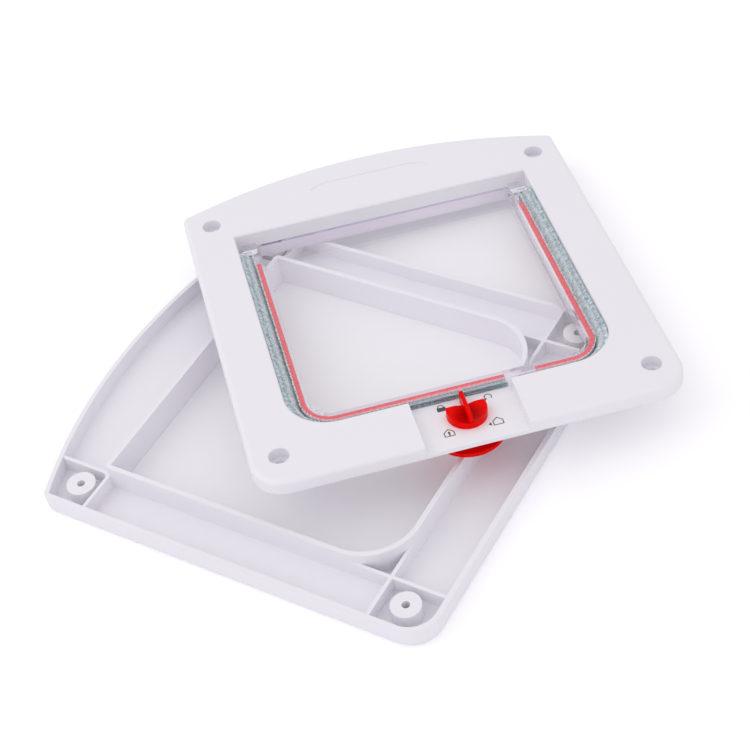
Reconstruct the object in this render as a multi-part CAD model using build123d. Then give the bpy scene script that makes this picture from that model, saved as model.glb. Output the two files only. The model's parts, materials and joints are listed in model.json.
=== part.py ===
"""Pet door for a house door: an outer frame lying on its face, and the main unit resting on it.

The main unit is a frame with a short tunnel, a clear flap on two hinge pins, two pile weather strips
in the flap's edge, and a turning lock. Lengths are in millimetres and +Z is up.
"""
import os
from math import cos, radians, sin

from build123d import *

# Outline that both frames share, measured from the middle of the screw pattern
frame_width = 187.4
frame_foot = 96.7
frame_shoulder = 92.7
arch_rise = 18.0
foot_corner_radius = 14.0
shoulder_corner_radius = 3.0
plate_thickness = 2.5
rim_wall = 2.2
face_edge_radius = 2.4
rib_thickness = 1.6
rib_corner_radius = 2.5
screw_pitch_x = 162.0
screw_pitch_y = 162.6

# Outer frame
outer_rim_height = 10.4
outer_rib_height = 9.8
ring_half_width = 70.2
ring_head = 71.2
ring_foot = 68.2
ring_foot_radius = 22.8
ring_wall = 2.2
ring_height = 15.0
boss_diameter = 13.0
boss_height = 9.8
pilot_hole_diameter = 3.5
pilot_hole_depth = 8.0

# Main frame
main_rim_depth = 7.2
main_rib_depth = 6.6
opening_half_width = 72.2
opening_head = 69.3
opening_foot = 69.0
opening_foot_radius = 20.0
opening_edge_chamfer = 0.6
tunnel_wall = 2.0
tunnel_depth = 15.5
well_diameter = 9.0
well_depth = 5.0
well_wall = 2.2
screw_hole_diameter = 4.5

# Shallow line moulded in the main frame's head
head_line_height = 95.0
head_line_half_length = 23.5
head_line_end_run = 6.0
head_line_end_drop = 3.6
head_line_bend_radius = 12.0
head_line_width = 1.2
head_line_depth = 0.3

# Lock panel, a recess in the main frame's lower border
panel_half_width = 22.5
panel_recess = 5.0
panel_side_wall = 2.0
lock_axis_drop = 79.5

# Clear flap, a tray with its open side to the front
flap_front = 4.0
flap_depth = 7.6
flap_plate = 1.5
flange_wall = 1.4
flap_head_gap = 5.4
lip_thickness = 0.8
ear_rise = 2.3
ear_height = 6.0
ear_side_gap = 2.2
hinge_drop = 3.0

# Hinge pins
pin_diameter = 3.0
pin_running_clearance = 0.05
pin_seat_clearance = 0.02
pin_grip = 7.0
pin_end_gap = 0.3

# Weather strips
strip_side_space = 8.8
strip_foot_space = 7.6
backing_thickness = 2.5
pile_width = 5.6
pile_wall_gap = 0.3
strip_seat_gap = 0.05
backing_head_gap = 9.7
pile_head_gap = 2.4
strip_break_start = 21.6
strip_break_end = 35.4

# Lock knob
knob_radius = 8.8
knob_height = 3.8
knob_flat = 3.0
knob_panel_gap = 0.1
dish_half_width = 7.2
dish_depth = 2.2
dish_drop = 2.9
fin_thickness = 1.8
fin_height = 6.0
fin_end_gap = 0.2
fin_ridge_foot = 5.7
fin_nose_height = 2.6
fin_edge_radius = 0.5
shaft_diameter = 6.0
shaft_running_clearance = 0.05
key_size = 3.8

# Lock cam and its screw
cam_radius = 16.3
cam_flat = 10.0
cam_thickness = 2.0
cam_flap_gap = 0.4
cam_slot_clearance = 0.3
hub_diameter = 11.0
hub_panel_gap = 0.2
key_clearance = 0.05
lock_screw_diameter = 2.2
lock_screw_grip = 4.0
lock_screw_head_diameter = 5.6
lock_screw_head_height = 1.5
lock_screw_head_chamfer = 0.5
lock_screw_seat_clearance = 0.02

# Where the tunnel's end lies on the outer frame, and how far the unit is turned
unit_x = 62.2
unit_y = -11.2
unit_turn = -46.3
seat_gap = 0.05

# Worked out from the sizes above
frame_half = frame_width / 2
flange_half = opening_half_width - strip_side_space
flap_back = flap_front + flap_depth
flap_head = opening_head - flap_head_gap
ear_head = flap_head + ear_rise
ear_foot = ear_head - ear_height
hinge_y = ear_head - hinge_drop
hinge_z = -(flap_front + flap_depth / 2)
ear_side = opening_half_width - ear_side_gap
panel_underside = -main_rim_depth
knob_foot = -panel_recess + knob_panel_gap
knob_top = knob_foot + knob_height
dish_radius = (dish_half_width**2 + dish_depth**2) / (2 * dish_depth)
cam_top = -(flap_back + cam_flap_gap)
cam_underside = cam_top - cam_thickness
hub_top = panel_underside - hub_panel_gap
large = 4 * frame_width


def slab(outline, low, high):
    """Outline on the XY plane made solid between two heights."""
    return Pos(0, 0, low) * extrude(outline, high - low)


def block(x_span, y_span, z_span):
    """Box given by its low and high value along each axis."""
    spans = (x_span, y_span, z_span)
    middle = [(low + high) / 2 for low, high in spans]
    return Pos(*middle) * Box(*[high - low for low, high in spans])


def arched_outline(inset=0.0):
    """Frame outline with straight foot and sides, an arched head and rounded corners."""
    left_shoulder = (-frame_half, frame_shoulder)
    right_shoulder = (frame_half, frame_shoulder)
    sides = Polyline(left_shoulder, (-frame_half, -frame_foot), (frame_half, -frame_foot), right_shoulder)
    arch = ThreePointArc(right_shoulder, (0, frame_shoulder + arch_rise), left_shoulder)
    outline = make_face(sides.edges() + arch.edges())
    outline = fillet(outline.vertices().sort_by(Axis.Y)[:2], foot_corner_radius)
    outline = fillet(outline.vertices().sort_by(Axis.Y)[-2:], shoulder_corner_radius)
    return offset(outline, -inset) if inset else outline


def round_foot_outline(half, foot, head, radius):
    """Rectangle with square corners at the head and rounded corners at the foot."""
    outline = Pos(0, (head - foot) / 2) * Rectangle(2 * half, head + foot)
    return fillet(outline.vertices().sort_by(Axis.Y)[:2], radius)


def ring_outline():
    """Outer frame's opening."""
    return round_foot_outline(ring_half_width, ring_foot, ring_head, ring_foot_radius)


def opening_outline(grow):
    """Main frame's opening, with its edges moved outwards."""
    return round_foot_outline(
        opening_half_width + grow, opening_foot + grow, opening_head + grow, opening_foot_radius + grow
    )


def flap_outline(grow):
    """Flap's flange, with its sides and foot moved outwards and its head kept."""
    return round_foot_outline(
        flange_half + grow,
        opening_foot - strip_foot_space + grow,
        flap_head,
        opening_foot_radius - strip_side_space + grow,
    )


def crossing_ribs(half, foot, head):
    """Ribs along the lines of a tunnel's four walls, run out to the rim and rounded into each head corner."""
    ribs = Pos(0, head) * Rectangle(large, rib_thickness) + Pos(0, -foot) * Rectangle(large, rib_thickness)
    for side in (-1, 1):
        ribs += Pos(side * half, 0) * Rectangle(rib_thickness, large)
    ribs &= arched_outline(rim_wall / 2)
    corner = Vector(half + rib_thickness / 2, head + rib_thickness / 2)
    bends = [spot for spot in ribs.vertices() if (Vector(abs(spot.X), spot.Y) - corner).length < seat_gap]
    return fillet(bends, rib_corner_radius)


def screw_points():
    """Middles of the four screws."""
    return GridLocations(screw_pitch_x, screw_pitch_y, 2, 2).locations


def make_outer_frame():
    """Frame lying on its face, with its rim, tunnel ring, crossing ribs and bosses standing up."""
    body = slab(arched_outline(), 0, outer_rim_height)
    body = fillet(body.faces().sort_by(Axis.Z)[0].edges(), face_edge_radius)
    body -= slab(arched_outline(rim_wall), plate_thickness, outer_rim_height)
    middle = ring_wall / 2
    ribs = crossing_ribs(ring_half_width + middle, ring_foot + middle, ring_head + middle)
    body += slab(ribs, 0, outer_rib_height)
    body += slab(offset(ring_outline(), ring_wall), 0, ring_height)
    body -= slab(ring_outline(), 0, ring_height)
    for spot in screw_points():
        body += spot * slab(Circle(boss_diameter / 2), 0, boss_height)
        body -= spot * slab(Circle(pilot_hole_diameter / 2), boss_height - pilot_hole_depth, boss_height)
    return body


def make_lock_panel(body):
    """Recess in the lower border: side walls and a floor, open to the opening and to the foot."""
    wall = panel_half_width + panel_side_wall
    border = (-frame_foot, -opening_foot)
    body += block((-wall, wall), border, (panel_underside, -plate_thickness / 2))
    body -= block((-panel_half_width, panel_half_width), (-large, -opening_foot), (-panel_recess, large))
    shaft_hole = Circle(shaft_diameter / 2 + shaft_running_clearance)
    body -= Pos(0, -lock_axis_drop) * slab(shaft_hole, panel_underside, -panel_recess)
    slot_half = cam_radius + cam_slot_clearance
    slot_heights = (cam_underside - cam_slot_clearance, cam_top + cam_slot_clearance)
    body -= block((-slot_half, slot_half), (-opening_foot - tunnel_wall, -opening_foot), slot_heights)
    return body


def make_main_frame():
    """Frame with its face at height 0: rim, tunnel, ribs, screw wells, hinge holes and lock panel."""
    body = slab(arched_outline(), -main_rim_depth, 0)
    body = fillet(body.faces().sort_by(Axis.Z)[-1].edges(), face_edge_radius)
    body -= slab(arched_outline(rim_wall), -main_rim_depth, -plate_thickness)
    middle = tunnel_wall / 2
    ribs = crossing_ribs(opening_half_width + middle, opening_foot + middle, opening_head + middle)
    body += slab(ribs, -main_rib_depth, -plate_thickness / 2)
    body += slab(offset(opening_outline(0), tunnel_wall), -tunnel_depth, -plate_thickness / 2)
    body -= slab(opening_outline(0), -tunnel_depth, 0)
    face = body.faces().sort_by(Axis.Z)[-1]
    body = chamfer(face.inner_wires()[0].edges(), opening_edge_chamfer)
    body = make_lock_panel(body)
    for spot in screw_points():
        body += spot * slab(Circle(well_diameter / 2 + well_wall), -main_rim_depth, -plate_thickness / 2)
        body -= spot * slab(Circle(well_diameter / 2), -well_depth, 0)
        body -= spot * slab(Circle(screw_hole_diameter / 2), -main_rim_depth, 0)
    pin_hole = Cylinder(pin_diameter / 2 + pin_running_clearance, 2 * (opening_half_width + tunnel_wall))
    body -= Pos(0, hinge_y, hinge_z) * Rot(0, 90, 0) * pin_hole
    run = head_line_half_length + head_line_end_run
    low = head_line_height - head_line_end_drop
    left_bend = (-head_line_half_length, head_line_height)
    right_bend = (head_line_half_length, head_line_height)
    line = FilletPolyline((-run, low), left_bend, right_bend, (run, low), radius=head_line_bend_radius)
    body -= slab(trace(line, head_line_width), -head_line_depth, 0)
    return body


def make_flap():
    """Clear tray: back plate, flange all round, ears for the pins, and a channel on the sides and foot."""
    tray = slab(flap_outline(0), -flap_back, -flap_front)
    inner = offset(flap_outline(0), -flange_wall)
    tray -= slab(inner, -flap_back + flap_plate, -flap_front)
    lip = flap_outline(backing_thickness) - flap_outline(0)
    lip -= Pos(0, ear_foot + large / 2) * Rectangle(large, large)
    tray += slab(lip, -flap_front - lip_thickness, -flap_front)
    tray += slab(lip, -flap_back, -flap_back + lip_thickness)
    for side in (-1, 1):
        span = sorted((side * (flange_half - flange_wall / 2), side * ear_side))
        tray += block(span, (ear_foot, ear_head), (-flap_back, -flap_front))
        grip = Cylinder(pin_diameter / 2 + pin_seat_clearance, pin_grip)
        tray -= Pos(side * (ear_side - pin_grip / 2), hinge_y, hinge_z) * Rot(0, 90, 0) * grip
    return tray


def make_hinge_pin(side):
    """Pin seated in an ear, with its free end in the tunnel's side wall."""
    inner = ear_side - pin_grip
    outer = opening_half_width + tunnel_wall - pin_end_gap
    pin = Cylinder(pin_diameter / 2, outer - inner)
    return Pos(side * (inner + outer) / 2, hinge_y, hinge_z) * Rot(0, 90, 0) * pin


def strip_part(band, head, width, side):
    """One weather strip's share of a band round the flap: it runs down a side and along part of the foot."""
    band -= Pos(0, head + large / 2) * Rectangle(large, large)
    if side < 0:
        band -= Pos(strip_break_start + large / 2, 0) * Rectangle(large, 2 * large)
    else:
        band -= Pos(strip_break_end - large / 2, 0) * Rectangle(large, 2 * large)
    return slab(band, hinge_z - width / 2, hinge_z + width / 2)


def make_strip_backing(side):
    """Stiff backing held between the channel's lips."""
    width = flap_depth - 2 * (lip_thickness + strip_seat_gap)
    band = flap_outline(backing_thickness) - flap_outline(strip_seat_gap)
    return strip_part(band, ear_foot - backing_head_gap, width, side)


def make_strip_pile(side):
    """Pile that stands out of the channel and reaches almost to the tunnel wall."""
    band = opening_outline(-pile_wall_gap) - flap_outline(backing_thickness + strip_seat_gap)
    return strip_part(band, ear_foot - pile_head_gap, pile_width, side)


def make_lock_knob():
    """Knob on the lock axis: dished half-round grip, fin, shaft and square key."""
    outline = Circle(knob_radius) - Pos(0, knob_flat + large / 2) * Rectangle(large, large)
    knob = slab(outline, knob_foot, knob_top)
    ball = Rot(90, 0, 0) * Sphere(dish_radius)
    knob -= Pos(0, -dish_drop, knob_top - dish_depth + dish_radius) * ball
    reach = knob_radius - fin_end_gap
    ridge = -panel_recess + fin_height
    nose = -panel_recess + fin_nose_height
    low_end = ((-reach, knob_foot), (-reach, nose), (-fin_ridge_foot, ridge))
    profile = Polyline(*low_end, (reach, ridge), (reach, knob_foot), close=True)
    fin = extrude(Plane.YZ * make_face(profile.edges()), fin_thickness / 2, both=True)
    fin = fillet(fin.edges().filter_by(Axis.Y).group_by(Axis.Z)[-1], fin_edge_radius)
    knob += fin
    knob += slab(Circle(shaft_diameter / 2), hub_top, knob_foot)
    key_end = cam_underside + hub_panel_gap
    knob += slab(Rectangle(key_size, key_size), key_end, hub_top)
    pilot = Circle(lock_screw_diameter / 2 + lock_screw_seat_clearance)
    knob -= slab(pilot, key_end, cam_underside + lock_screw_grip + lock_screw_seat_clearance)
    return Pos(0, -lock_axis_drop) * knob


def make_lock_cam():
    """Disc with one flat and a hub, with a square hole for the knob's key."""
    outline = Circle(cam_radius) - Pos(0, cam_flat + large / 2) * Rectangle(large, large)
    cam = slab(outline, cam_underside, cam_top)
    cam += slab(Circle(hub_diameter / 2), cam_underside, hub_top)
    hole = key_size + 2 * key_clearance
    cam -= slab(Rectangle(hole, hole), cam_underside, hub_top)
    return Pos(0, -lock_axis_drop) * cam


def make_lock_screw():
    """Round-headed screw up into the knob's key."""
    screw = slab(Circle(lock_screw_diameter / 2), cam_underside, cam_underside + lock_screw_grip)
    head = slab(Circle(lock_screw_head_diameter / 2), cam_underside - lock_screw_head_height, cam_underside)
    head = chamfer(head.edges().group_by(Axis.Z)[0], lock_screw_head_chamfer)
    return Pos(0, -lock_axis_drop) * (screw + head)


def unit_place():
    """Rest of the main unit: its tunnel's end touches the outer ring twice and the far rim once."""
    turn = radians(unit_turn)
    along = Vector(cos(turn), sin(turn))
    across = Vector(-sin(turn), cos(turn))
    left_wall = -opening_half_width
    foot_wall = -opening_foot
    right_wall = opening_half_width + tunnel_wall
    ring_top = ring_height + seat_gap
    rim_top = outer_rim_height + seat_gap

    def on_plan(x, y, height):
        return Vector(unit_x, unit_y, height) + along * x + across * y

    head_line = ring_head + ring_wall
    head_touch = on_plan(left_wall, (head_line - unit_y - left_wall * along.Y) / across.Y, ring_top)
    foot_line = -(ring_foot + ring_wall)
    foot_touch = on_plan((foot_line - unit_y - foot_wall * across.Y) / along.Y, foot_wall, ring_top)
    rim_touch = on_plan(right_wall, (frame_half - unit_x - right_wall * along.X) / across.X, rim_top)
    normal = (foot_touch - head_touch).cross(rim_touch - head_touch).normalized()
    if normal.Z < 0:
        normal = -normal
    slope = normal.dot(head_touch - Vector(unit_x, unit_y, 0)) / normal.Z
    end_middle = Vector(unit_x, unit_y, slope)
    level = along - normal * normal.dot(along)
    return Plane(origin=end_middle + normal * tunnel_depth, x_dir=level, z_dir=normal).location


unit_nodes = {
    "main_frame": make_main_frame(),
    "flap": make_flap(),
    "hinge_pin_left": make_hinge_pin(-1),
    "hinge_pin_right": make_hinge_pin(1),
    "strip_backing_left": make_strip_backing(-1),
    "strip_backing_right": make_strip_backing(1),
    "strip_pile_left": make_strip_pile(-1),
    "strip_pile_right": make_strip_pile(1),
    "lock_knob": make_lock_knob(),
    "lock_cam": make_lock_cam(),
    "lock_screw": make_lock_screw(),
}
place = unit_place()
nodes = {"outer_frame": make_outer_frame()}
for name, piece in unit_nodes.items():
    nodes[name] = place * piece

# The origin is on the floor, under the middle of the whole object
boxes = [piece.bounding_box() for piece in nodes.values()]
middle_x = (min(box.min.X for box in boxes) + max(box.max.X for box in boxes)) / 2
middle_y = (min(box.min.Y for box in boxes) + max(box.max.Y for box in boxes)) / 2
stand = Pos(-middle_x, -middle_y, 0)

os.makedirs("parts", exist_ok=True)
for name, piece in nodes.items():
    export_step(stand * piece, f"parts/{name}.step")

unit_frame = stand * place
print("outer frame middle", (stand * Pos(0, 0, 0)).position)
print("main face middle", unit_frame.position, "turn", unit_frame.orientation)
print("hinge point", (unit_frame * Pos(0, hinge_y, hinge_z)).position)
print("lock point", (unit_frame * Pos(0, -lock_axis_drop, -panel_recess)).position)
print("along", Plane(unit_frame).x_dir, "normal", Plane(unit_frame).z_dir)
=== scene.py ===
import json
import math
import random

import bmesh
import bpy
from mathutils import Matrix, Vector


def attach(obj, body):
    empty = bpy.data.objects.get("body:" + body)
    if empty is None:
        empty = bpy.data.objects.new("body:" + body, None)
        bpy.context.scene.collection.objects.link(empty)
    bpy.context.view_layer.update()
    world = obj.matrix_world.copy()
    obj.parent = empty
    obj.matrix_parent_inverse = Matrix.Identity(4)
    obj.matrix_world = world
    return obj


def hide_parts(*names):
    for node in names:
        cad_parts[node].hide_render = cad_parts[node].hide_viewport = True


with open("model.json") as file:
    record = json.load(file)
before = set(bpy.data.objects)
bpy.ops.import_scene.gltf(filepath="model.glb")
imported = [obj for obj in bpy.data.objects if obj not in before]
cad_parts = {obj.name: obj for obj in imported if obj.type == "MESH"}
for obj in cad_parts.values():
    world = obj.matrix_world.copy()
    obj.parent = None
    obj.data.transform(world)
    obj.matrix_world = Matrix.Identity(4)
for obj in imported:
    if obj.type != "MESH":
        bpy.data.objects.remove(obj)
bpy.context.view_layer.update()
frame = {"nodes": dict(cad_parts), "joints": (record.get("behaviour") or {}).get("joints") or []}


# Outer frame: one injection moulding in white ABS, lying on its smooth face with its ribbed side up.
# The tool's skin leaves a fine satin grain, and the melt leaves slow, faint changes of tone.
# It is not fixed to anything here: the main unit only rests on it.
mm = 0.001
white_abs = {
    "tone": (0.885, 0.867, 0.922, 1.0),
    "flow_tone": (0.872, 0.85, 0.908, 1.0),
    "flow_scale": 14.0,
    "grain_scale": 1400.0,
    "grain_depth": 0.04 * mm,
}
grain_strength = 0.25
grain_span = {"start": 0.3, "end": 0.7}
flow_detail = 3.0
flow_swirl = 0.8


def new_material(name):
    material = bpy.data.materials.new(name)
    material.use_nodes = True
    tree = material.node_tree
    return material, tree, tree.nodes["Principled BSDF"]


def set_node_material(node_name, material):
    node = frame["nodes"][node_name]
    node.data.materials.clear()
    node.data.materials.append(material)


def feed_node(tree, node, sources):
    """Links each input that is given a socket, and sets each one that is given a plain value."""
    for key, source in sources.items():
        if isinstance(source, bpy.types.NodeSocket):
            tree.links.new(source, node.inputs[key])
        else:
            node.inputs[key].default_value = source


def add_node(tree, kind, sources):
    node = tree.nodes.new(kind)
    feed_node(tree, node, sources)
    return node


def noise_on(tree, place, scale, detail=2.0, distortion=0.0):
    sources = {"Vector": place, "Scale": scale, "Detail": detail, "Distortion": distortion}
    return add_node(tree, "ShaderNodeTexNoise", sources).outputs["Fac"]


def map_range(tree, value, start=0.0, end=1.0, low=0.0, high=1.0):
    sources = {"Value": value, "From Min": start, "From Max": end, "To Min": low, "To Max": high}
    return add_node(tree, "ShaderNodeMapRange", sources).outputs["Result"]


def mix_colours(tree, mask, first, second, blend="MIX"):
    mix = tree.nodes.new("ShaderNodeMix")
    mix.data_type = "RGBA"
    mix.blend_type = blend
    feed_node(tree, mix, {"Factor": mask, "A": first, "B": second})
    return mix.outputs["Result"]


def relief(tree, height, strength, depth):
    sources = {"Height": height, "Strength": strength, "Distance": depth}
    return add_node(tree, "ShaderNodeBump", sources).outputs["Normal"]


moulded_skin = bpy.data.node_groups.new("moulded_skin", "ShaderNodeTree")
for socket_name, way, kind in (
    ("Tone", "INPUT", "NodeSocketColor"),
    ("Flow Tone", "INPUT", "NodeSocketColor"),
    ("Flow Scale", "INPUT", "NodeSocketFloat"),
    ("Gloss Low", "INPUT", "NodeSocketFloat"),
    ("Gloss High", "INPUT", "NodeSocketFloat"),
    ("Grain Scale", "INPUT", "NodeSocketFloat"),
    ("Color", "OUTPUT", "NodeSocketColor"),
    ("Roughness", "OUTPUT", "NodeSocketFloat"),
    ("Grain", "OUTPUT", "NodeSocketFloat"),
):
    moulded_skin.interface.new_socket(socket_name, in_out=way, socket_type=kind)
skin_in = moulded_skin.nodes.new("NodeGroupInput").outputs
skin_place = moulded_skin.nodes.new("ShaderNodeTexCoord").outputs["Object"]
skin_flow = noise_on(moulded_skin, skin_place, skin_in["Flow Scale"], flow_detail, flow_swirl)
skin_grain = noise_on(moulded_skin, skin_place, skin_in["Grain Scale"])
skin_gloss = map_range(
    moulded_skin, skin_grain, low=skin_in["Gloss Low"], high=skin_in["Gloss High"], **grain_span
)
add_node(moulded_skin, "NodeGroupOutput", {
    "Color": mix_colours(moulded_skin, skin_flow, skin_in["Tone"], skin_in["Flow Tone"]),
    "Roughness": skin_gloss,
    "Grain": skin_grain,
})


def moulded_plastic(name, tone, flow_tone, flow_scale, gloss, grain_scale, grain_depth):
    material, tree, shader = new_material(name)
    skin = tree.nodes.new("ShaderNodeGroup")
    skin.node_tree = moulded_skin
    feed_node(tree, skin, {
        "Tone": tone,
        "Flow Tone": flow_tone,
        "Flow Scale": flow_scale,
        "Gloss Low": gloss[0],
        "Gloss High": gloss[1],
        "Grain Scale": grain_scale,
    })
    feed_node(tree, shader, {
        "Base Color": skin.outputs["Color"],
        "Roughness": skin.outputs["Roughness"],
        "Normal": relief(tree, skin.outputs["Grain"], grain_strength, grain_depth),
    })
    return material


outer_abs = moulded_plastic("outer_frame_abs", gloss=(0.38, 0.5), **white_abs)
set_node_material("outer_frame", outer_abs)


# Main frame: the same white ABS, moulded as a face with a rim, a short tunnel, screw wells and a lock panel.
# It lies turned and tipped on the outer frame, so its own directions come from its two joints:
# the hinge line runs across it, and the lock turns about its normal.
joints = {joint["name"]: joint for joint in frame["joints"]}
unit_x = -Vector(joints["flap_hinge"]["axis"]).normalized()
unit_z = Vector(joints["lock_turn"]["axis"]).normalized()
unit_y = unit_z.cross(unit_x)
panel_recess = 5.0 * mm
lock_axis_drop = 79.5 * mm
lock_point = Vector(joints["lock_turn"]["pos_m"])
face_middle = lock_point + unit_z * panel_recess + unit_y * lock_axis_drop
unit_place = Matrix.Translation(face_middle) @ Matrix((unit_x, unit_y, unit_z)).transposed().to_4x4()

main_abs = moulded_plastic("main_frame_abs", gloss=(0.36, 0.48), **white_abs)
set_node_material("main_frame", main_abs)


# Lock signs: four small generic pictograms in dark grey, pad-printed on the panel round the knob.
# They mean locked, free both ways, in only and out only, one at each of the lock's positions.
sign_line = 0.42 * mm
shackle_line = 0.45 * mm
print_lift = 0.03 * mm
ring_segments = 28
ink_dark = (0.035, 0.03, 0.035, 1.0)
ink_light = (0.11, 0.1, 0.11, 1.0)
ink_speckle = 2500.0


def link_object(name, data):
    made = bpy.data.objects.new(name, data)
    bpy.context.scene.collection.objects.link(made)
    return made


def mesh_object(name, bm):
    mesh = bpy.data.meshes.new(name)
    bm.to_mesh(mesh)
    bm.free()
    return link_object(name, mesh)


def solid_patch(bm, corners):
    face = bm.faces.new([bm.verts.new((x * mm, y * mm, 0.0)) for x, y in corners])
    face.normal_update()
    return face


def hollow_out(bm, face, line):
    """Leaves only a border of the face, as wide as the printed line, and returns the border's faces."""
    inset = bmesh.ops.inset_region(bm, faces=[face], thickness=line, use_even_offset=True, use_boundary=True)
    bmesh.ops.delete(bm, geom=[face], context="FACES_ONLY")
    return inset["faces"]


def open_ring(bm, radius, line, height, lowest):
    """A round ring that ends at its lowest level, as a shackle or the bend of an arrow does."""
    middle = Matrix.Translation((0.0, height * mm, 0.0))
    made = bmesh.ops.create_circle(
        bm, cap_ends=True, segments=ring_segments, radius=radius * mm, matrix=middle
    )
    ring = hollow_out(bm, made["verts"][0].link_faces[0], line)
    edges = list(dict.fromkeys(edge for face in ring for edge in face.edges))
    verts = list(dict.fromkeys(vert for face in ring for vert in face.verts))
    bmesh.ops.bisect_plane(
        bm, geom=ring + edges + verts, plane_co=(0, lowest * mm, 0), plane_no=(0, -1, 0), clear_outer=True
    )


def draw_locked(bm):
    solid_patch(bm, ((-1.9, -2.0), (1.9, -2.0), (1.9, 0.4), (-1.9, 0.4)))
    open_ring(bm, radius=1.5, line=shackle_line, height=0.5, lowest=0.4)


def draw_free(bm):
    open_ring(bm, radius=1.75, line=sign_line, height=0.0, lowest=-1.1)
    solid_patch(bm, ((-2.5, -0.9), (-0.7, -0.9), (-1.6, -2.1)))


def draw_in_only(bm):
    house = solid_patch(bm, ((-2.3, -2.1), (2.3, -2.1), (2.3, 0.5), (0.0, 2.5), (-2.3, 0.5)))
    hollow_out(bm, house, sign_line)
    solid_patch(bm, ((-0.75, -0.2), (0.75, -0.2), (0.0, 1.1)))
    solid_patch(bm, ((-0.3, -1.6), (0.3, -1.6), (0.3, -0.2), (-0.3, -0.2)))


def draw_out_only(bm):
    house = solid_patch(bm, ((-1.6, -2.1), (3.0, -2.1), (3.0, 0.5), (0.7, 2.5), (-1.6, 0.5)))
    hollow_out(bm, house, sign_line)
    solid_patch(bm, ((-2.3, -1.9), (-2.3, 0.3), (-3.6, -0.8)))


def make_sign(name, draw, x, y):
    bm = bmesh.new()
    draw(bm)
    place = unit_place @ Matrix.Translation((x * mm, y * mm - lock_axis_drop, print_lift - panel_recess))
    bmesh.ops.transform(bm, matrix=place, verts=bm.verts)
    bmesh.ops.recalc_face_normals(bm, faces=bm.faces)
    for face in bm.faces:
        if face.normal.dot(unit_z) < 0:
            face.normal_flip()
    return mesh_object("sign_" + name, bm)


def two_tone(tree, value, dark, light):
    ramp = add_node(tree, "ShaderNodeValToRGB", {"Fac": value})
    ramp.color_ramp.elements[0].color = dark
    ramp.color_ramp.elements[1].color = light
    return ramp.outputs["Color"]


print_ink, ink_tree, ink_shader = new_material("print_ink")
ink_place = ink_tree.nodes.new("ShaderNodeTexCoord").outputs["Object"]
ink_noise = noise_on(ink_tree, ink_place, ink_speckle)
feed_node(ink_tree, ink_shader, {
    "Base Color": two_tone(ink_tree, ink_noise, ink_dark, ink_light),
    "Roughness": 0.55,
})
for sign_name, draw, x, y in (
    ("locked", draw_locked, -9.4, 7.3),
    ("free", draw_free, 11.3, 7.4),
    ("in_only", draw_in_only, -10.1, -8.0),
    ("out_only", draw_out_only, 10.4, -8.0),
):
    sign = make_sign(sign_name, draw, x, y)
    sign.data.materials.append(print_ink)
    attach(sign, "frames")


# Flap: a clear polystyrene tray, moulded in one with its ears and the channel for the weather strip.
# It hangs on two pins and is glossy all over, with faint flow ripples in the sheet.
# The sheet is almost colourless and its walls are pale lilac; the front of its head is painted a deeper
# lilac, as painted shade for the dark line that refraction shows along that clear edge.
sheet_clear = (0.99, 0.982, 1.0, 1.0)
wall_lilac = (0.93, 0.88, 0.95, 1.0)
head_painted_refraction = (0.74, 0.67, 0.88, 1.0)
wall_slope = 0.4
head_front = {"start": -4.3 * mm, "end": -4.1 * mm}
head_foot = {"start": 62.0 * mm, "end": 62.4 * mm}
head_ends = {"start": 62.4 * mm, "end": 61.8 * mm}
ripple_scale = 40.0
ripple_strength = 0.05
ripple_depth = 0.2 * mm
sheet_haze = {"low": 0.02, "high": 0.07}


def work_out(tree, operation, *values, clamp=False):
    node = tree.nodes.new("ShaderNodeMath")
    node.operation = operation
    node.use_clamp = clamp
    feed_node(tree, node, dict(enumerate(values)))
    return node.outputs["Value"]


def share_along(tree, vector, direction):
    node = tree.nodes.new("ShaderNodeVectorMath")
    node.operation = "DOT_PRODUCT"
    feed_node(tree, node, {0: vector, 1: direction})
    return node.outputs["Value"]


def distance_along(tree, place, direction):
    """How far a point lies from the middle of the main frame's face, in one of the unit's directions."""
    return work_out(tree, "SUBTRACT", share_along(tree, place, direction), face_middle.dot(direction))


def ray_mask(tree, ray_names):
    """Is 1 for a ray of any of the named kinds."""
    rays = tree.nodes.new("ShaderNodeLightPath").outputs
    mask = rays[ray_names[0]]
    for ray_name in ray_names[1:]:
        mask = work_out(tree, "MAXIMUM", mask, rays[ray_name])
    return mask


clear_plastic, flap_tree, flap_shader = new_material("clear_flap")
flap_place = flap_tree.nodes.new("ShaderNodeTexCoord").outputs
flap_ripple = noise_on(flap_tree, flap_place["Object"], ripple_scale)
flap_facing = share_along(flap_tree, flap_place["Normal"], unit_z)
flap_wall = work_out(flap_tree, "COMPARE", flap_facing, 0.0, wall_slope)
# Painted shade: the front face of the head is tinted a deeper lilac, for the dark refraction line along it.
flap_front = map_range(flap_tree, distance_along(flap_tree, flap_place["Object"], unit_z), **head_front)
flap_high = map_range(flap_tree, distance_along(flap_tree, flap_place["Object"], unit_y), **head_foot)
flap_aside = work_out(flap_tree, "ABSOLUTE", distance_along(flap_tree, flap_place["Object"], unit_x))
flap_between = map_range(flap_tree, flap_aside, **head_ends)
flap_upper = work_out(flap_tree, "MULTIPLY", flap_front, flap_high)
flap_refraction_mask = work_out(flap_tree, "MULTIPLY", flap_upper, flap_between)
flap_tint = mix_colours(flap_tree, flap_wall, sheet_clear, wall_lilac)
feed_node(flap_tree, flap_shader, {
    "Base Color": mix_colours(flap_tree, flap_refraction_mask, flap_tint, head_painted_refraction),
    "Roughness": map_range(flap_tree, flap_ripple, **sheet_haze),
    "Normal": relief(flap_tree, flap_ripple, ripple_strength, ripple_depth),
    "Transmission Weight": 0.97,
    "IOR": 1.2,
    "Coat Weight": 0.5,
    "Coat Roughness": 0.06,
})
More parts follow.
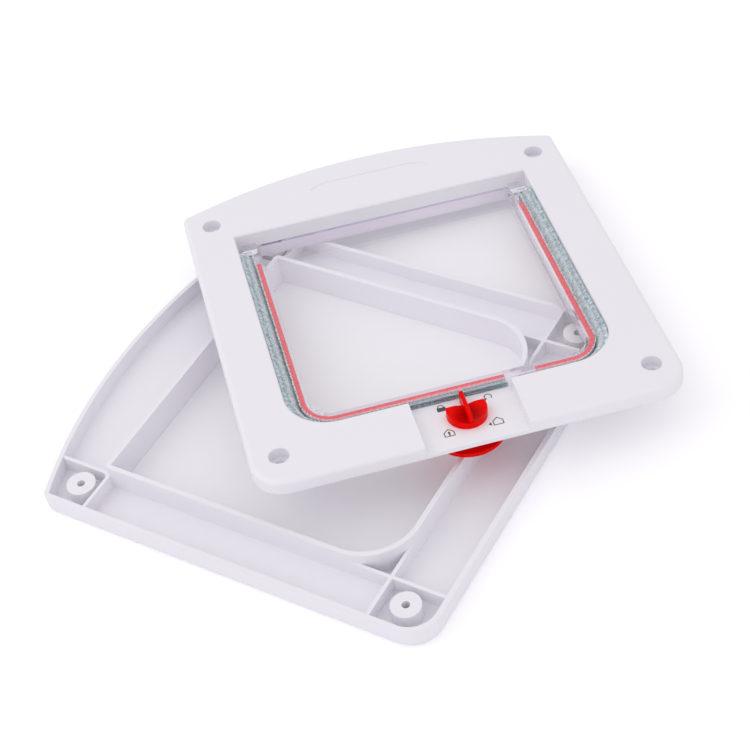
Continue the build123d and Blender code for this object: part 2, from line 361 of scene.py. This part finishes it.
# Light falls straight through the clear sheet on what lies below it.
flap_pass = flap_tree.nodes.new("ShaderNodeBsdfTransparent")
flap_mix = add_node(flap_tree, "ShaderNodeMixShader", {
    "Fac": ray_mask(flap_tree, ("Is Shadow Ray", "Is Diffuse Ray")),
    1: flap_shader.outputs["BSDF"],
    2: flap_pass.outputs["BSDF"],
})
feed_node(flap_tree, flap_tree.nodes["Material Output"], {"Surface": flap_mix.outputs["Shader"]})
set_node_material("flap", clear_plastic)


# Hinge pins: short lengths of drawn steel rod, pressed into the flap's ears.
# Drawing leaves fine, faint changes of tone and gloss on the rod.
pin_dark = (0.74, 0.74, 0.76, 1.0)
pin_light = (0.86, 0.86, 0.88, 1.0)
steel_grain = 1800.0
steel_gloss = {"low": 0.25, "high": 0.4}


def drawn_steel(name, dark, light):
    material, tree, shader = new_material(name)
    place = tree.nodes.new("ShaderNodeTexCoord").outputs["Object"]
    grain = noise_on(tree, place, steel_grain)
    feed_node(tree, shader, {
        "Base Color": two_tone(tree, grain, dark, light),
        "Roughness": map_range(tree, grain, **steel_gloss),
        "Metallic": 1.0,
    })
    return material


pin_steel = drawn_steel("pin_steel", pin_dark, pin_light)
set_node_material("hinge_pin_left", pin_steel)
set_node_material("hinge_pin_right", pin_steel)


# Strip backings: extruded plastic bands that slide into the flap's channel and carry the pile.
# Their two long edges are red, and their flat sides are painted pale, a painted reflection of the flap's
# clear flange that lies over them.
band_red = {
    "tone": (0.85, 0.032, 0.068, 1.0),
    "flow_tone": (0.78, 0.025, 0.055, 1.0),
    "flow_scale": 60.0,
    "gloss": (0.2, 0.32),
    "grain_scale": 900.0,
    "grain_depth": 0.03 * mm,
}
band_painted_reflection = (0.78, 0.72, 0.8, 1.0)
band_slope = 0.5


def lay_over(material, mask, colour):
    """Lays a second colour over the material's own one where the mask is 1."""
    tree = material.node_tree
    shader = tree.nodes["Principled BSDF"]
    own_colour = shader.inputs["Base Color"].links[0].from_socket
    feed_node(tree, shader, {"Base Color": mix_colours(tree, mask, own_colour, colour)})


strip_red = moulded_plastic("strip_backing", **band_red)
strip_tree = strip_red.node_tree
strip_normal = strip_tree.nodes.new("ShaderNodeTexCoord").outputs["Normal"]
# Painted reflection: the flat sides facing front and back are laid over with a pale colour.
strip_facing = share_along(strip_tree, strip_normal, unit_z)
strip_reflection_side = work_out(strip_tree, "COMPARE", strip_facing, 0.0, band_slope)
lay_over(strip_red, strip_reflection_side, band_painted_reflection)
set_node_material("strip_backing_left", strip_red)
set_node_material("strip_backing_right", strip_red)


# Strip pile: dense grey-green fibres woven into the backing and cut to the tunnel's shape.
# Each strip is a short length of tufts, repeated along the strip's own line round the flap's edge.
# The rows of tufts nearest the face are coarse and pale, and the rows behind them are fine and darker, as
# painted shade; the tone also differs at random from tuft to tuft. The fibres are painted darker at their
# roots and towards their tips as painted shade, and paler along the foot as painted light.
flange_half = 63.4 * mm
flange_foot = 61.4 * mm
flange_corner = 11.2 * mm
wall_half = 72.2 * mm
wall_foot = 69.0 * mm
wall_corner = 20.0 * mm
tip_gap = 0.3 * mm
tip_level = 5.5 * mm
pile_root = 2.55 * mm
pile_length = wall_half - tip_gap - flange_half - pile_root
pile_level = -7.8 * mm
strip_head = 57.8 * mm
strip_break = {"left": 21.6 * mm, "right": 35.4 * mm}
corner_steps = 16
row_length = 18.0 * mm
fibre_radius = 0.13 * mm
fibre_sides = 3
root_share = 0.9
tip_share = 1.3
fibre_splay = 0.09
fibre_trim = (0.88, 1.0)
tuft_spot = (0.4, 0.6)
level_scatter = 0.3
tone_scatter = 0.15
foot_rise = 2.6 * mm
foot_slope = 1.35
foot_painted_light = 1.2
corner_ease = 5.0 * mm
press_share = 0.15
foot_turn = 0.1
fibre_dark = (0.2, 0.27, 0.31, 1.0)
fibre_pale = (0.97, 0.99, 1.0, 1.0)
tip_shade = (0.83, 0.91, 0.96, 1.0)
clump_scale = 900.0
clump_detail = 1.0
clump_tone = {"start": 0.42, "end": 0.6, "low": 0.42, "high": 0.85}
fibre_weight = 0.35
root_shade = {"start": 0.02, "end": 0.3, "low": 0.2}


def tuft_row(level, lean, length, fibres, tone, out=0.0, pitch=0.9, root=0.4, crest=0.0):
    """One row of tufts, with its sizes in millimetres, its lean in radians and its tone from dark to pale."""
    return {
        "level": level, "out": out, "lean": lean, "length": length, "pitch": pitch,
        "root": root, "fibres": fibres, "tone": tone, "crest": crest,
    }


coarse_tufts = {"tone": (0.7, 1.0), "root": 0.38, "crest": 0.4}
# Painted shade: the deeper the row lies, the darker the tones it draws from.
pile_rows = (
    tuft_row(level=-2.2, lean=(-0.25, -0.1), length=6.0, fibres=7, tone=(0.0, 0.6)),
    tuft_row(level=-1.2, lean=(-0.12, 0.05), length=6.0, fibres=8, tone=(0.0, 0.6)),
    tuft_row(level=-0.2, lean=(0.0, 0.25), length=6.0, fibres=8, tone=(0.1, 0.8)),
    tuft_row(level=0.8, lean=(0.2, 0.5), length=6.6, fibres=9, tone=(0.1, 0.9)),
    tuft_row(level=1.5, lean=(0.45, 0.72), length=7.4, fibres=10, tone=(0.1, 1.0), out=0.5),
    tuft_row(level=2.0, lean=(0.7, 1.2), length=4.2, fibres=12, out=1.3, pitch=1.5, **coarse_tufts),
    tuft_row(level=3.2, lean=(1.1, 1.8), length=1.3, fibres=16, pitch=1.9, **coarse_tufts),
)


def strip_line(side):
    sign = -1 if side == "left" else 1
    half, foot, radius = flange_half + pile_root, flange_foot + pile_root, flange_corner + pile_root
    points = [(sign * half, strip_head), (sign * half, radius - foot)]
    for step in range(1, corner_steps + 1):
        angle = math.radians(90 * step / corner_steps)
        x = half - radius + radius * math.cos(angle)
        points.append((sign * x, radius - foot - radius * math.sin(angle)))
    points.append((strip_break[side], -foot))
    return points if side == "left" else points[::-1]


def plant_tufts(length, seed):
    """A short, straight length of pile along x, with its fibres standing out along -y."""
    chance = random.Random(seed)
    bm = bmesh.new()
    tone = bm.verts.layers.float.new("fibre_tone_and_painted_light")
    rise = bm.verts.layers.float.new("fibre_rise")
    for row in pile_rows:
        tufts = round(length / (row["pitch"] * mm))
        for tuft in range(tufts):
            along = (tuft + chance.uniform(*tuft_spot)) * length / tufts
            shade = chance.uniform(*row["tone"])
            for fibre in range(row["fibres"]):
                lean = chance.uniform(*row["lean"])
                tall = row["length"] * mm * chance.uniform(*fibre_trim)
                across, aside = chance.uniform(-1, 1), chance.uniform(-1, 1)
                level = (row["level"] + aside * level_scatter) * mm
                root = Matrix.Translation((along + across * row["root"] * mm, -row["out"] * mm, level))
                flare = Matrix.Rotation(across * fibre_splay, 4, "Z") @ Matrix.Rotation(-lean, 4, "X")
                stand = Matrix.Rotation(math.radians(90), 4, "X") @ Matrix.Translation((0, 0, tall / 2))
                made = bmesh.ops.create_cone(
                    bm, cap_ends=True, segments=fibre_sides, radius1=fibre_radius * root_share,
                    radius2=fibre_radius * tip_share, depth=tall, matrix=root @ flare @ stand,
                )
                for vert in made["verts"]:
                    vert_tone = shade + chance.uniform(-tone_scatter, tone_scatter)
                    vert[tone] = min(1.0, max(0.0, vert_tone))
                    vert[rise] = min(1.0, max(row["crest"], -vert.co.y / pile_length))
    return bm


def bend_along(row, side, points, repeats, length):
    """Repeats the short row along the strip's line, and returns the bent mesh."""
    line = bpy.data.curves.new("pile_line_" + side, "CURVE")
    line.dimensions = "2D"
    spline = line.splines.new("POLY")
    spline.points.add(len(points) - 1)
    for point, (x, y) in zip(spline.points, points):
        point.co = (x, y, 0.0, 1.0)
    guide = link_object("pile_line_" + side, line)
    repeat = row.modifiers.new("repeat", "ARRAY")
    repeat.count = repeats
    repeat.use_relative_offset = False
    repeat.use_constant_offset = True
    repeat.constant_offset_displace = (length, 0, 0)
    follow = row.modifiers.new("follow", "CURVE")
    follow.object = guide
    bpy.context.view_layer.update()
    bent = bpy.data.meshes.new_from_object(row.evaluated_get(bpy.context.evaluated_depsgraph_get()))
    bpy.data.objects.remove(row)
    bpy.data.objects.remove(guide)
    return bent


def dress_pile(mesh):
    """Trims the tips to the tunnel's wall, presses the foot's fibres down to bare the backing, and paints the
    foot's fibres paler as painted light.
    """
    wall_middle = Vector((wall_half - wall_corner, wall_corner - wall_foot))
    root_middle = Vector((flange_half - flange_corner, flange_corner - flange_foot))
    reach = wall_corner - tip_gap
    root_radius = flange_corner + pile_root
    tone = mesh.attributes["fibre_tone_and_painted_light"].data
    for vert in mesh.vertices:
        side = math.copysign(1.0, vert.co.x)
        spot = Vector((abs(vert.co.x), vert.co.y))
        out = spot - wall_middle
        if out.x > 0 and out.y < 0 and out.length > reach:
            spot = wall_middle + out * (reach / out.length)
        spot.x = min(spot.x, wall_half - tip_gap)
        spot.y = max(spot.y, tip_gap - wall_foot)
        vert.co.z = min(vert.co.z, tip_level)
        if spot.y < root_middle.y:
            arm = Vector((max(spot.x - root_middle.x, 0.0), spot.y - root_middle.y))
            turned = -arm.normalized().y
            grown = max(arm.length - root_radius, 0.0)
            limit = foot_rise + grown / foot_slope + (1.0 - turned) * corner_ease
            if vert.co.z > limit:
                vert.co.z = limit + (vert.co.z - limit) * press_share
            # Painted light: the fibres along the foot are made paler, against the shade they lie in under the
            # flange.
            tone[vert.index].value += foot_painted_light * turned
            if arm.length < root_radius and turned > foot_turn:
                spot += arm.normalized() * (root_radius - arm.length)
        vert.co.x = side * spot.x
        vert.co.y = spot.y


def make_pile(side, seed):
    points = strip_line(side)
    run = sum((Vector(end) - Vector(start)).length for start, end in zip(points, points[1:]))
    repeats = round(run / row_length)
    length = run / repeats
    row = mesh_object("pile_row_" + side, plant_tufts(length, seed))
    mesh = bend_along(row, side, points, repeats, length)
    dress_pile(mesh)
    mesh.transform(unit_place @ Matrix.Translation((0, 0, pile_level)))
    mesh.name = "pile_" + side
    return link_object("pile_" + side, mesh)


def fibre_value(tree, attribute_name):
    node = tree.nodes.new("ShaderNodeAttribute")
    node.attribute_name = attribute_name
    return node.outputs["Fac"]


pile_fibre, pile_tree, pile_shader = new_material("strip_pile")
pile_place = pile_tree.nodes.new("ShaderNodeTexCoord").outputs["Object"]
pile_clump = noise_on(pile_tree, pile_place, clump_scale, clump_detail)
pile_speck = map_range(pile_tree, pile_clump, **clump_tone)
pile_tone_and_painted_light = fibre_value(pile_tree, "fibre_tone_and_painted_light")
pile_rise = fibre_value(pile_tree, "fibre_rise")
pile_light = work_out(pile_tree, "MULTIPLY_ADD", pile_tone_and_painted_light, fibre_weight, pile_speck, clamp=True)
# Painted shade: fibres darken near their roots, and turn a darker blue-grey towards their tips.
pile_shade = map_range(pile_tree, pile_rise, **root_shade)
pile_depth = work_out(pile_tree, "MULTIPLY", pile_light, pile_shade)
pile_colour = two_tone(pile_tree, pile_depth, fibre_dark, fibre_pale)
feed_node(pile_tree, pile_shader, {
    "Base Color": mix_colours(pile_tree, pile_rise, pile_colour, tip_shade, blend="MULTIPLY"),
    "Roughness": 0.75,
})
for side, seed in (("left", 11), ("right", 23)):
    pile = make_pile(side, seed)
    pile.data.materials.append(pile_fibre)
    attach(pile, "flap")
    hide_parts("strip_pile_" + side)


# Lock: a red ABS knob on the panel, with a cam behind it on a square key and a screw up through the cam.
# The mouldings are smooth and glossy, and the knob's dish is painted a deeper red than its rim, as painted
# shade in the hollow.
knob_red = {
    "tone": (0.92, 0.001, 0.001, 1.0),
    "flow_tone": (0.8, 0.001, 0.001, 1.0),
    "flow_scale": 40.0,
    "gloss": (0.22, 0.34),
    "grain_scale": 1100.0,
    "grain_depth": 0.02 * mm,
}
dish_painted_shade = (0.42, 0.0, 0.0, 1.0)
dish_rim = -1.3 * mm
dish_floor = -3.2 * mm
dish_slope = 0.3
screw_dark = (0.48, 0.48, 0.5, 1.0)
screw_light = (0.62, 0.62, 0.64, 1.0)

lock_red = moulded_plastic("lock_red", **knob_red)
lock_tree = lock_red.node_tree
feed_node(lock_tree, lock_tree.nodes["Principled BSDF"], {"Specular IOR Level": 0.05})
lock_place = lock_tree.nodes.new("ShaderNodeTexCoord").outputs
lock_level = distance_along(lock_tree, lock_place["Object"], unit_z)
lock_facing = share_along(lock_tree, lock_place["Normal"], unit_z)
# Painted shade: the knob's upward faces turn a deeper red the lower they lie in the dish.
lock_shade_depth = map_range(lock_tree, lock_level, start=dish_rim, end=dish_floor)
lock_up = work_out(lock_tree, "GREATER_THAN", lock_facing, dish_slope)
lock_near = work_out(lock_tree, "GREATER_THAN", lock_level, -panel_recess)
lock_dish_shade = work_out(lock_tree, "MULTIPLY", lock_shade_depth, lock_up)
lay_over(lock_red, work_out(lock_tree, "MULTIPLY", lock_dish_shade, lock_near), dish_painted_shade)
set_node_material("lock_knob", lock_red)
set_node_material("lock_cam", lock_red)
screw_steel = drawn_steel("screw_steel", screw_dark, screw_light)
set_node_material("lock_screw", screw_steel)


# Studio: a pale floor, a soft lamp on the left, a low wide lamp on the camera's side and an even white room.
# The floor reads as white to the camera, except inside the outer frame's ring.
# The camera stands where the photograph was taken from.
floor_half = 3.0
floor_level = -0.1 * mm
floor_pale = (0.952, 0.938, 0.978, 1.0)
ring_middle = {"X": -50.1 * mm, "Y": 10.1 * mm}
ring_half = {"X": 70.2 * mm, "Y": 69.7 * mm}
ring_lift = {"start": 1.08, "end": 1.28, "high": 0.2}

floor_bm = bmesh.new()
floor_drop = Matrix.Translation((0, 0, floor_level))
bmesh.ops.create_grid(floor_bm, x_segments=1, y_segments=1, size=floor_half, matrix=floor_drop)
floor = mesh_object("floor", floor_bm)
floor_paint, floor_tree, floor_shader = new_material("floor_paint")
floor_place = floor_tree.nodes.new("ShaderNodeTexCoord").outputs["Object"]
floor_split = add_node(floor_tree, "ShaderNodeSeparateXYZ", {"Vector": floor_place}).outputs
floor_shares = []
for axis in "XY":
    floor_off = work_out(floor_tree, "SUBTRACT", floor_split[axis], ring_middle[axis])
    floor_size = work_out(floor_tree, "ABSOLUTE", floor_off)
    floor_shares.append(work_out(floor_tree, "DIVIDE", floor_size, ring_half[axis]))
floor_far = work_out(floor_tree, "MAXIMUM", *floor_shares)
floor_lift = map_range(floor_tree, floor_far, **ring_lift)
feed_node(floor_tree, floor_shader, {
    "Base Color": floor_pale,
    "Roughness": 0.9,
    "Emission Color": work_out(floor_tree, "MULTIPLY", floor_lift, ray_mask(floor_tree, ("Is Camera Ray",))),
    "Emission Strength": 1.0,
})
floor.data.materials.append(floor_paint)

room_colour = (1.0, 1.0, 1.0, 1.0)
room_strength = 0.82
white_strength = 1.0
world = bpy.data.worlds.new("white_room")
bpy.context.scene.world = world
world.use_nodes = True
room = world.node_tree
room_light = room.nodes["Background"]
feed_node(room, room_light, {"Color": room_colour, "Strength": room_strength})
room_white = add_node(room, "ShaderNodeBackground", {"Color": room_colour, "Strength": white_strength})
room_mix = add_node(room, "ShaderNodeMixShader", {
    "Fac": ray_mask(room, ("Is Camera Ray", "Is Glossy Ray", "Is Transmission Ray")),
    1: room_light.outputs["Background"],
    2: room_white.outputs["Background"],
})
feed_node(room, room.nodes["World Output"], {"Surface": room_mix.outputs["Shader"]})

for lamp_name, width, height, watts, spot in (
    ("side_lamp", 1.2, 1.2, 2.4, (-0.5, 0.75, 0.95)),
    ("low_lamp", 1.8, 0.6, 0.9, (-0.75, -0.75, 0.55)),
):
    lamp_data = bpy.data.lights.new(lamp_name, "AREA")
    lamp_data.shape = "RECTANGLE"
    lamp_data.size = width
    lamp_data.size_y = height
    lamp_data.energy = watts
    lamp = link_object(lamp_name, lamp_data)
    lamp.location = spot
    lamp.rotation_euler = (-lamp.location).to_track_quat("-Z", "Y").to_euler()

camera_spot = Vector((-446.8, -322.36, 548.43)) * mm
camera_aim = Vector((-18.16, 7.96, 0.0)) * mm
camera_roll = math.radians(-11.56)
camera_data = bpy.data.cameras.new("camera")
camera_data.sensor_width = 36.0
camera_data.lens = 81.09
camera_data.clip_start = 0.01
camera = link_object("camera", camera_data)
camera_turn = (camera_aim - camera_spot).to_track_quat("-Z", "Y").to_matrix().to_4x4()
camera_tilt = Matrix.Rotation(camera_roll, 4, "Z")
camera.matrix_world = Matrix.Translation(camera_spot) @ camera_turn @ camera_tilt
bpy.context.scene.camera = camera
bpy.context.scene.view_settings.view_transform = "Standard"
